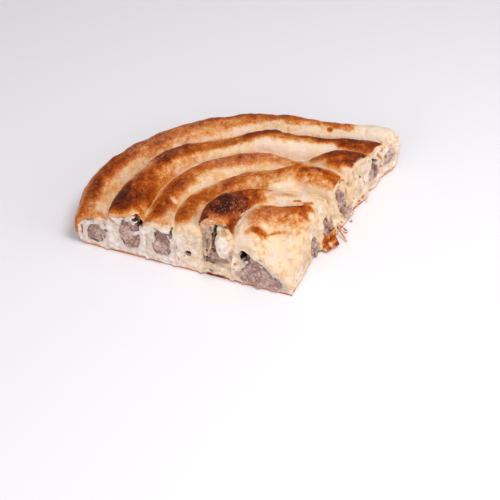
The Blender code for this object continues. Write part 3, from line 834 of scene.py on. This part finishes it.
SCORCHES = marks_of({
    "left": (
        (155.9, 17.5, 156.7, 9.4, 0.8, 0.50), (160.0, 16.5, 161.2, 5.1, 1.2, 0.42),
        (60.0, 42.6, 66.0, 42.2, 1.5, 0.30), (75.0, 46.4, 77.5, 45.8, 1.4, 0.28),
        (61.5, 1.0, 50.0, 0.6, 1.8, 0.74), (134.0, 30.6, 131.0, 29.0, 1.2, 0.34),
        (44.9, 21.6, 44.8, 20.4, 0.9, 0.46), (41.2, 18.4, 41.0, 17.6, 0.9, 0.44),
        (42.2, 14.2, 42.0, 12.8, 0.9, 0.44),
    ),
    "right": (
        (144.0, 2.8, 149.0, 3.4, 1.0, 0.42), (137.1, 14.6, 137.1, 13.8, 1.2, 0.50),
        (150.6, 4.2, 151.2, 5.0, 0.9, 0.50), (146.0, 28.4, 147.2, 28.2, 1.8, 0.24),
        (126.4, 33.8, 130.0, 27.9, 1.2, 0.40), (130.4, 24.6, 129.7, 20.6, 1.1, 0.44),
        (131.4, 17.6, 131.8, 15.6, 1.0, 0.42), (117.6, 37.8, 117.9, 36.4, 1.0, 0.40),
        (132.3, 2.1, 128.8, 0.4, 1.2, 0.52), (122.6, 1.0, 120.6, 0.8, 1.2, 0.36),
        (132.5, 34.6, 132.8, 33.6, 1.5, 0.36), (102.6, 29.8, 102.7, 29.2, 0.9, 0.52),
        (99.9, 19.6, 99.9, 18.9, 0.8, 0.52), (103.7, 16.2, 103.8, 15.4, 0.8, 0.50),
        (94.6, 10.4, 95.0, 9.0, 1.4, 0.46), (102.0, 4.2, 105.4, 3.8, 1.1, 0.46),
        (107.9, 7.4, 107.6, 6.0, 1.0, 0.40), (106.0, 0.6, 98.9, 1.4, 1.1, 0.44),
        (99.1, 14.6, 99.2, 13.4, 1.4, 0.26), (78.2, 4.9, 78.3, 4.2, 0.9, 0.52),
        (86.1, 3.4, 86.6, 2.6, 1.0, 0.46), (92.4, 11.8, 92.6, 10.6, 1.3, 0.36),
        (31.3, 28.0, 31.8, 21.8, 1.1, 0.46), (42.5, 0.4, 40.5, 0.4, 1.4, 0.52),
        (77.0, 37.5, 82.0, 39.5, 1.5, 0.40), (84.0, 38.0, 87.0, 36.0, 1.1, 0.42),
    ),
})
# Marks in the cut dough: meat juice and meat stains, and painted shade in the creases between turns and
# under the fold across turn 5
STAINS_AND_SHADE = marks_of({
    "left": (
        (149.1, 24.0, 140.9, 22.6, 1.0, 0.30), (117.6, 33.0, 113.0, 36.0, 1.4, 0.50),
        (64.5, 40.0, 61.6, 31.0, 3.2, 0.45), (61.6, 39.4, 61.5, 37.0, 1.3, 0.90),
        (64.0, 13.3, 47.4, 14.7, 2.0, 0.95), (59.4, 21.0, 56.0, 17.0, 2.4, 0.80),
        (58.9, 5.4, 58.4, 5.0, 1.6, 0.80), (44.6, 27.0, 44.8, 16.0, 1.2, 0.60),
        (39.5, 10.0, 36.0, 8.0, 2.6, 0.70), (36.0, 24.0, 33.6, 21.0, 1.6, 0.50),
        (34.0, 2.8, 12.0, 2.4, 2.4, 0.75), (106.6, 24.0, 106.8, 10.0, 0.9, 0.50),
        (136.5, 12.0, 137.5, 3.0, 1.2, 0.35), (86.0, 22.0, 85.6, 8.0, 0.8, 0.30),
    ),
    "right": (
        (121.5, 39.4, 121.8, 38.0, 1.8, 0.50), (95.0, 39.2, 96.7, 31.5, 1.6, 0.55),
        (92.2, 31.0, 92.4, 29.4, 1.8, 0.50), (141.9, 20.8, 141.8, 19.8, 1.0, 0.70),
    ),
})


def marks_at(here, marks, warp):
    """The level of each mark and how far it covers, one mark after the other."""
    for mark in marks:
        face = here.left_face if mark.side == "left" else here.right_face
        start, end = (mark.radius, mark.height), (mark.to_radius, mark.to_height)
        reach = reach_of(here.radius, here.height, start, end, mark.width) + warp
        yield mark.level, (1 - smooth_step(reach, 0.3, 1.3)) * face


# How far parts are baked, from 0 for raw to 1 for burnt; the skin's edge at the left cut by turn
PALE_SKIN = 0.16
CREST_BAKING = 0.2
WALL_BAKING = 0.42
WALL_FOOT_BAKING = 0.25
UNDERSIDE_BAKING = 0.50
SHARD_BAKING = 0.50
EDGE_LEVELS = np.array((0, 0.38, 0.24, 0.40, 0.26, 0.34, 0.20))
FAINT_STAIN = 0.24


def colour_crust(item, heights):
    points, normals = points_of(item.data), normals_of(item.data)
    here = survey(points, normals, heights)
    wide, coarse, middle, fine = (
        noise_at(points, size, seed) for size, seed in ((22, 10), (11, 11), (5, 12), (2.2, 13))
    )
    warp = 0.3 * coarse + 0.3 * middle + 0.15 * fine
    crest = 1 - smooth_step(np.abs(here.side) + 0.3 * coarse, 0.2, 1)
    baked = PALE_SKIN + CREST_BAKING * crest + 0.08 * wide
    baked = paint(here, BAKING, baked, warp)
    streaks = drawn_noise(here, TWIST, 9, 1.8, 15)
    # Light specks: partly the crust's own flecks, partly painted glints
    specks = smooth_step(noise_at(points, 1.9, 41), 0.3, 0.55)
    spots = smooth_step(noise_at(points, 3.0, 42), 0.3, 0.6)
    mottling = 0.16 * blisters_at(points, here) + 0.17 * middle + 0.14 * fine + 0.06 * streaks
    mottling += 0.10 * spots - 0.15 * specks
    baked += mottling * (0.22 + baked)
    edge = (1 - smooth_step(here.over, 2.5, 8)) * (1 - smooth_step(here.left, 2, 8)) * (here.over > -1)
    baked += (EDGE_LEVELS[here.number] + 0.1 * middle - baked) * 0.9 * edge * (1 - here.crumb)
    wall = WALL_BAKING + 0.16 * wide + 0.1 * coarse + WALL_FOOT_BAKING * (1 - smooth_step(here.height, 2, 9))
    baked += (wall - baked) * here.wall
    underneath = UNDERSIDE_BAKING + 0.3 * coarse + 0.2 * middle
    low = np.maximum(here.bottom, 1 - smooth_step(here.height + 1.0 * middle + 1.1 * coarse, 0.9, 2.2))
    baked += (underneath - baked) * low
    crumb = here.crumb * (1 - low)
    for level, cover in marks_at(here, SCORCHES, 1.5 * warp):
        baked += (level - baked) * cover
        crumb *= 1 - cover
    shard = smooth_step(-here.right, 1.0, 2.0) * (here.height < 10) * (here.number == 5)
    baked += (SHARD_BAKING + 0.35 * middle + 0.25 * fine - baked) * shard
    crumb *= 1 - shard
    set_attribute(item, "baked", np.clip(baked, 0, 1.1))
    dry = paint(here, DRYNESS, np.zeros(len(points)), warp)
    set_attribute(item, "dry", np.clip(dry, 0, 1))
    set_attribute(item, "crumb", crumb)
    toast = 1 - smooth_step(here.depth + 1.2 * middle, 0.5, 4.5)
    set_attribute(item, "toast", toast * crumb * (1 - near_slit(here, KNOB, 0)))
    # Faint stains at random, then the marks, which are juice stains and painted shade
    stain_and_shade = FAINT_STAIN * smooth_step(wide + 0.8 * middle, 0.25, 0.9)
    for level, cover in marks_at(here, STAINS_AND_SHADE, 1.2 * warp):
        stain_and_shade = np.maximum(stain_and_shade, level * cover)
    set_attribute(item, "stain_and_shade", stain_and_shade * crumb)
    warm = smooth_step(84.0 - here.radius + 3 * coarse, -4, 6)
    warm *= 1 - 0.8 * near_slit(here, KNOB, 0)
    set_attribute(item, "cream", np.where(here.left < here.right, warm, 1))
    # Painted shade: nearly black brown in the tunnels' mouths, darker further in, and in the slits of both
    # cuts
    inset = np.minimum(here.left, here.right)
    tunnels = here.tunnel * smooth_step(inset, 1.6, 4.5)
    slits = smooth_step(slits_at(here, SLITS, 0.2 * fine), 1.0, 2.2) * smooth_step(here.left, 0.3, 1.3)
    slits *= 1 - smooth_step(here.left, 8, 10)
    right_slits = smooth_step(slits_at(here, RIGHT_SLITS, 0.2 * fine), 1.4, 2.6)
    slits = np.maximum(slits, right_slits * (1 - smooth_step(here.right, 6, 8)))
    set_attribute(item, "hollow_shade", np.maximum(tunnels, slits))
    distance, _ = beside_meat(points, crumb)
    set_attribute(item, "juice", (1 - smooth_step(distance + 0.8 * middle, 0.3, 4.5)) * crumb)


# Materials

def srgb(red, green, blue):
    """A colour given as it looks on a screen, 0 to 255, as the linear light that shaders use."""
    channels = (red / 255, green / 255, blue / 255)
    return tuple(c / 12.92 if c <= 0.04045 else ((c + 0.055) / 1.055) ** 2.4 for c in channels) + (1,)


def add(tree, kind, inputs=None, **settings):
    node = tree.nodes.new(kind)
    for name, value in settings.items():
        setattr(node, name, value)
    for name, value in (inputs or {}).items():
        if isinstance(value, bpy.types.NodeSocket):
            tree.links.new(value, node.inputs[name])
        else:
            node.inputs[name].default_value = value
    return node


def blend(tree, factor, first, second):
    return add(tree, "ShaderNodeMix", {0: factor, 6: first, 7: second}, data_type="RGBA").outputs[2]


def calculate(tree, operation, first, second=0.0, third=0.0):
    return add(tree, "ShaderNodeMath", {0: first, 1: second, 2: third}, operation=operation).outputs[0]


def attribute(tree, name):
    return add(tree, "ShaderNodeAttribute", attribute_name=name).outputs["Fac"]


def grain(tree, size, detail=2.0, rough=0.5):
    """Noise in object space with lumps about one size across, in millimetres."""
    place = add(tree, "ShaderNodeTexCoord").outputs["Object"]
    inputs = {"Vector": place, "Scale": 1 / (size * MM), "Detail": detail, "Roughness": rough}
    return add(tree, "ShaderNodeTexNoise", inputs).outputs["Fac"]


def above(tree, value, low, high):
    """A smooth rise from 0 to 1 as the value goes from low to high."""
    inputs = {"Value": value, "From Min": low, "From Max": high}
    return add(tree, "ShaderNodeMapRange", inputs, interpolation_type="SMOOTHSTEP").outputs["Result"]


def ramp(tree, value, stops):
    node = add(tree, "ShaderNodeValToRGB", {"Fac": value})
    entries = node.color_ramp.elements
    while len(entries) < len(stops):
        entries.new(1.0)
    for entry, (position, colour) in zip(entries, stops):
        entry.position = position
        entry.color = colour
    return node.outputs["Color"]


def bump(tree, height, distance, before=None):
    inputs = {"Height": height, "Distance": distance * MM, "Strength": 1.0}
    if before:
        inputs["Normal"] = before
    return add(tree, "ShaderNodeBump", inputs).outputs["Normal"]


def new_material(name):
    material = bpy.data.materials.new(name)
    material.use_nodes = True
    return material, material.node_tree, material.node_tree.nodes["Principled BSDF"]


BAKING_COLOURS = (
    (0.00, srgb(240, 222, 200)),
    (0.15, srgb(233, 204, 166)),
    (0.30, srgb(219, 156, 94)),
    (0.45, srgb(192, 100, 26)),
    (0.60, srgb(160, 70, 8)),
    (0.75, srgb(120, 45, 5)),
    (0.90, srgb(84, 27, 4)),
    (1.00, srgb(56, 17, 6)),
)


COOL_DOUGH = (
    (0.30, srgb(200, 176, 157)),
    (0.50, srgb(234, 219, 207)),
    (0.68, srgb(248, 241, 235)),
)
WARM_DOUGH = (
    (0.30, srgb(206, 170, 138)),
    (0.50, srgb(234, 209, 184)),
    (0.68, srgb(248, 236, 224)),
)


ROSY_SKIN = srgb(232, 208, 200)
FLOURY_SKIN = srgb(208, 148, 116)
PALE_FLECKS = srgb(226, 190, 150)
JUICY_DOUGH = srgb(206, 188, 182)
TOASTED_DOUGH = srgb(228, 192, 144)
# Stained dough, also the colour of painted shade in creases and under a fold
STAINED_AND_SHADED_DOUGH = srgb(172, 136, 122)
# Painted shade for the tunnels' mouths and the slits
HOLLOW_SHADE = srgb(46, 19, 11)
CRUST_SHINE = 0.12
SOFT_GLOW = 0.15
GLOW_COLOURS = (1.0, 0.5, 0.25)
GLOW_DEPTH = 0.003


def crust_material():
    material, tree, shader = new_material("baked_crust")
    names = ("baked", "crumb", "dry", "toast", "hollow_shade", "juice", "stain_and_shade", "cream")
    baked, crumb, dry, toast, hollow_shade, juice, stain_and_shade, cream = (attribute(tree, name) for name in names)
    mottle = calculate(tree, "MULTIPLY_ADD", grain(tree, 3.2, 5, 0.7), 0.26, -0.13)
    # Painted glints: fine light and dark specks on the crust, partly its own grain and partly standing in
    # for glints of light
    specks_and_glints = above(tree, grain(tree, 1.5, 3, 0.7), 0.40, 0.60)
    mottle = calculate(tree, "MULTIPLY_ADD", specks_and_glints, 0.12, calculate(tree, "ADD", mottle, -0.06))
    strength = above(tree, baked, 0.05, 0.55)
    mottle = calculate(tree, "MULTIPLY", mottle, calculate(tree, "MULTIPLY_ADD", strength, 0.75, 0.25))
    skin = ramp(tree, calculate(tree, "ADD", baked, mottle), BAKING_COLOURS)
    rosy = above(tree, grain(tree, 12, 2, 0.5), 0.42, 0.62)
    rosy = calculate(tree, "MULTIPLY", rosy, above(tree, baked, 0.4, 0.1))
    skin = blend(tree, calculate(tree, "MULTIPLY", rosy, 0.55), skin, ROSY_SKIN)
    haze = calculate(tree, "MULTIPLY", dry, above(tree, grain(tree, 3.5, 4, 0.65), 0.35, 0.7))
    haze = calculate(tree, "MULTIPLY", haze, above(tree, baked, 0.85, 0.55))
    skin = blend(tree, calculate(tree, "MULTIPLY", haze, 0.5), skin, FLOURY_SKIN)
    flecks = calculate(tree, "MULTIPLY", dry, above(tree, grain(tree, 1.3, 3, 0.6), 0.58, 0.68))
    skin = blend(tree, calculate(tree, "MULTIPLY", flecks, 0.55), skin, PALE_FLECKS)
    curd = grain(tree, 4.0, 5, 0.65)
    cool = ramp(tree, curd, COOL_DOUGH)
    dough = blend(tree, cream, cool, ramp(tree, curd, WARM_DOUGH))
    dough = blend(tree, calculate(tree, "MULTIPLY", juice, 0.6), dough, JUICY_DOUGH)
    dough = blend(tree, calculate(tree, "MULTIPLY", toast, 0.7), dough, TOASTED_DOUGH)
    # Stains and painted shade on the cut dough
    dough = blend(tree, stain_and_shade, dough, STAINED_AND_SHADED_DOUGH)
    # Painted shade in the tunnels' mouths and the slits
    dough = blend(tree, hollow_shade, dough, HOLLOW_SHADE)
    tree.links.new(blend(tree, crumb, skin, dough), shader.inputs["Base Color"])
    roughness = calculate(tree, "MULTIPLY_ADD", crumb, 0.2, 0.42)
    tree.links.new(roughness, shader.inputs["Roughness"])
    fine = bump(tree, grain(tree, 0.8, 3, 0.6), 0.25)
    tree.links.new(bump(tree, grain(tree, 2.2, 3, 0.6), 0.45, fine), shader.inputs["Normal"])
    shader.inputs["Specular IOR Level"].default_value = CRUST_SHINE
    shader.inputs["Subsurface Weight"].default_value = SOFT_GLOW
    shader.inputs["Subsurface Radius"].default_value = GLOW_COLOURS
    shader.inputs["Subsurface Scale"].default_value = GLOW_DEPTH
    return material


MEAT_COLOURS = (
    (0.16, srgb(104, 72, 62)),
    (0.38, srgb(168, 132, 120)),
    (0.58, srgb(206, 173, 161)),
    (0.84, srgb(232, 212, 204)),
)


def meat_material():
    material, tree, shader = new_material("minced_meat")
    # The tone carries the grains' own tone and painted shade
    tone = attribute(tree, "tone")
    tone = calculate(tree, "MULTIPLY", tone, 0.5)
    shade = calculate(tree, "MULTIPLY_ADD", grain(tree, 1.0, 4, 0.7), 0.6, tone)
    tree.links.new(ramp(tree, shade, MEAT_COLOURS), shader.inputs["Base Color"])
    shader.inputs["Roughness"].default_value = 0.6
    tree.links.new(bump(tree, grain(tree, 0.9, 4, 0.65), 0.4), shader.inputs["Normal"])
    return material


# The filling

MEAT_VOXEL = 0.6
MEAT_GRAIN = 3.3
FINE_MEAT = 14.0
MEAT_SHARE = 0.35
SUNKEN_MEAT = {1: 0.5, 2: 0.8, 3: 0.8, 4: 5.0, 5: 0.8, 6: 0.4}
RAISED_MEAT = 1.3


def grains_at(points, size):
    """Crumbly grains: how far each point is inside its grain, 0 to 1, and a tone for the grain."""
    bend = np.array([noise.noise_vector(point) for point in (points / 3).tolist()])
    inside = []
    tone = []
    for point in ((points + 1.6 * bend) / size).tolist():
        distances, centres = noise.voronoi(point)
        inside.append(distances[1] - distances[0])
        tone.append(noise.noise(centres[0] * 7.3))
    return smooth_step(np.array(inside), 0, 0.45), np.array(tone)


def meat_piece(number):
    mesh = solid_of(f"meat_strand_{number}")
    for band in STRAY_MEAT:
        if band.turn == number:
            add_band(mesh, band)
    item = to_object(mesh, f"minced_meat_{number}")
    remesh(item, MEAT_VOXEL)
    smooth(item, 2)
    points, normals = points_of(item.data), normals_of(item.data)
    inside, _ = grains_at(points, MEAT_GRAIN)
    lumps = 1.3 * noise_at(points, 7, 21) + 0.7 * noise_at(points, 3, 23) + 0.25 * noise_at(points, 1.5, 25)
    points += normals * (0.7 * inside - 0.2 + lumps)[:, None]
    ropes = ROPES[number]
    inset = (ropes.left.point - points) @ ropes.left.normal
    inset -= inset.min()
    end = 1 - smooth_step(inset, 1, 5)
    heights = points[inset < 3, 2]
    rise = smooth_step((points[:, 2] - heights.min()) / np.ptp(heights), 0.5, 1)
    spot = Spot(np.hypot(*(points - TIP)[:, :2].T), points[:, 2])
    cracks = end * slits_at(spot, SLITS, 0.3 * noise_at(points, 2.2, 3))
    sunk = end * (SUNKEN_MEAT[number] + 1.2 * rise + 1.0 * noise_at(points, 7, 22)) + cracks
    points -= ropes.left.normal * sunk[:, None]
    far = (ropes.right.point - points) @ ropes.right.normal
    torn = slits_at(spot, RIGHT_SLITS, 0.3 * noise_at(points, 2.2, 3))
    torn = (1 - smooth_step(far - far.min(), 1, 6)) * torn
    raised = (1 - smooth_step(far - far.min(), 1, 4)) * RAISED_MEAT
    points += ropes.right.normal * (raised - torn)[:, None]
    points[:, 2] = np.maximum(points[:, 2], 0.3)
    put_points(item.data, points)
    hidden = np.minimum(*((cut.point - points) @ cut.normal for cut in (ropes.left, ropes.right)))
    thin_out(item, smooth_step(hidden, FINE_MEAT, FINE_MEAT + 6), MEAT_SHARE)
    points = points_of(item.data)
    inside, tone = grains_at(points, MEAT_GRAIN)
    # Painted shade on the meat: darker in the hollows between lumps, in the slits, towards the top near the
    # left cut where the dough overhangs, and in the right cut's slits
    deep = smooth_step(-1.3 * noise_at(points, 7, 21) - 0.7 * noise_at(points, 3, 23), 0.1, 0.7)
    wide = 0.3 * noise_at(points, 9, 24) + 0.25 * noise_at(points, 1.6, 26)
    inset = (ropes.left.point - points) @ ropes.left.normal
    spot = Spot(np.hypot(*(points - TIP)[:, :2].T), points[:, 2])
    far = (ropes.right.point - points) @ ropes.right.normal
    deep += smooth_step(slits_at(spot, SLITS, 0), 0.3, 2) * (inset < 8)
    near = inset < inset.min() + 6
    rise = (points[:, 2] - points[near, 2].min()) / np.ptp(points[near, 2])
    deep += 0.8 * smooth_step(rise + 0.3 * noise_at(points, 5, 27), 0.55, 1) * near
    deep += 1.5 * smooth_step(slits_at(spot, RIGHT_SLITS, 0), 0.3, 2) * (far < 8)
    # Each grain's own tone and random variation, with painted shade between the grains and where deep is
    # high
    set_attribute(item, "tone", np.clip(0.55 + 0.5 * tone + wide - 0.35 * (1 - inside) - 0.4 * deep, 0, 1))
    item.data.shade_smooth()
    return item


# The set

FLOOR_SIZE = 1.5
FLOOR_COLOUR = srgb(242, 240, 245)
FLOOR_ROUGHNESS = 0.6
SKY_LIGHT = 0.45
# Lamps that look at the wedge: name, place and size in metres, and power
LIGHTS = (
    ("key", (0.24, -0.22, 0.80), 0.35, 3.6),
    ("fill", (-0.4, -0.8, 0.35), 0.8, 2.6),
    ("side", (0.75, -0.30, 0.40), 0.6, 1.8),
)


def add_light(name, place, size, power):
    light = bpy.data.lights.new(name, "AREA")
    light.shape = "DISK"
    light.size = size
    light.energy = power
    item = bpy.data.objects.new(name, light)
    item.location = place
    item.rotation_euler = (-Vector(place)).to_track_quat("-Z", "Y").to_euler()
    bpy.context.scene.collection.objects.link(item)


def build_set():
    floor_mesh = bmesh.new()
    bmesh.ops.create_grid(floor_mesh, x_segments=1, y_segments=1, size=FLOOR_SIZE)
    floor = to_object(floor_mesh, "floor")
    material, _, shader = new_material("pale_floor")
    shader.inputs["Base Color"].default_value = FLOOR_COLOUR
    shader.inputs["Roughness"].default_value = FLOOR_ROUGHNESS
    floor.data.materials.append(material)
    world = bpy.data.worlds.new("studio")
    world.use_nodes = True
    world.node_tree.nodes["Background"].inputs["Color"].default_value = (1, 1, 1, 1)
    world.node_tree.nodes["Background"].inputs["Strength"].default_value = SKY_LIGHT
    scene = bpy.context.scene
    scene.world = world
    scene.view_settings.view_transform = "Standard"
    for name, place, size, power in LIGHTS:
        add_light(name, place, size, power)


# Crumbs beside the wedge: angle, radius and size
CRUMBS = (
    (57.6, 74, 1.3),
    (56.9, 75.4, 0.8),
    (58.9, 86, 1.1),
    (59.0, 111, 0.9),
)


FLAKE_VOXEL = 0.45


def bake_loose(item, baked):
    """The attributes of a piece that is all skin."""
    for name in ("dry", "crumb", "toast", "hollow_shade", "juice", "stain_and_shade", "cream"):
        set_attribute(item, name, np.zeros(len(baked)))
    set_attribute(item, "baked", np.clip(baked, 0, 1))
    item.data.shade_smooth()


def crumb_piece():
    mesh = bmesh.new()
    for angle, radius, size in CRUMBS:
        place = TIP + radius * outwards_at(angle) + 0.6 * size * UP
        made = bmesh.ops.create_icosphere(mesh, subdivisions=3, radius=size * MM)["verts"]
        for vertex in made:
            point = np.array(vertex.co) / MM + place
            swell = 1 + 0.5 * noise.noise(point * 0.9) + 0.25 * noise.noise(point * 2.5)
            vertex.co = Vector((place + (point - place) * swell * (1, 1, 0.7)) * MM)
            vertex.co.z = max(vertex.co.z, 0)
    item = to_object(mesh, "crumbs")
    bake_loose(item, 0.05 + 0.5 * smooth_step(noise_at(points_of(item.data), 2, 31), 0.1, 0.4))
    return item


def flake_piece():
    mesh = bmesh.new()
    for band in FLAKE:
        add_band(mesh, band)
    item = to_object(mesh, "hanging_flake")
    remesh(item, FLAKE_VOXEL)
    smooth(item, 2)
    points, normals = points_of(item.data), normals_of(item.data)
    points += normals * (0.35 * noise_at(points, 3, 32) + 0.2 * noise_at(points, 1.4, 33))[:, None]
    points[:, 2] = np.maximum(points[:, 2], 0)
    put_points(item.data, points)
    bake_loose(item, 0.46 + 0.4 * noise_at(points, 5, 34) + 0.25 * noise_at(points, 1.8, 35))
    return item


def build_camera():
    data = bpy.data.cameras.new("camera")
    data.lens = FOCAL_LENGTH
    data.sensor_width = SENSOR
    data.shift_x, data.shift_y = SHIFT
    camera = bpy.data.objects.new("camera", data)
    back = Vector((0, -math.cos(ELEVATION), math.sin(ELEVATION)))
    camera.location = LOOK_AT + back * DISTANCE
    camera.rotation_euler = (math.pi / 2 - ELEVATION, 0, 0)
    bpy.context.scene.collection.objects.link(camera)
    bpy.context.scene.camera = camera


def finish_piece(item, slot, material, *nodes):
    item.data.materials.clear()
    item.data.materials.append(material)
    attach(item, "root")
    if nodes:
        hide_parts(*nodes)


def main():
    build_camera()
    build_set()
    crust = fused_crust()
    heights = tops_of(crust)
    rough_crust(crust, heights)
    here = survey(points_of(crust.data), normals_of(crust.data), heights)
    hidden = here.tunnel * smooth_step(np.minimum(here.left, here.right), HIDDEN, HIDDEN + 2)
    plainness = np.maximum(SKIN_PLAINNESS + (CUT_PLAINNESS - SKIN_PLAINNESS) * here.crumb, here.bottom)
    thin_out(crust, np.maximum(plainness, hidden), CRUST_SHARE)
    colour_crust(crust, heights)
    crust.data.shade_smooth()
    pastry = crust_material()
    finish_piece(crust, "crust", pastry, *(f"pastry_turn_{number}" for number in TURNS))
    finish_piece(crumb_piece(), "crust", pastry)
    finish_piece(flake_piece(), "crust", pastry)
    meat = meat_material()
    for number in TURNS:
        piece = meat_piece(number)
        finish_piece(piece, "meat", meat, f"meat_strand_{number}")


main()
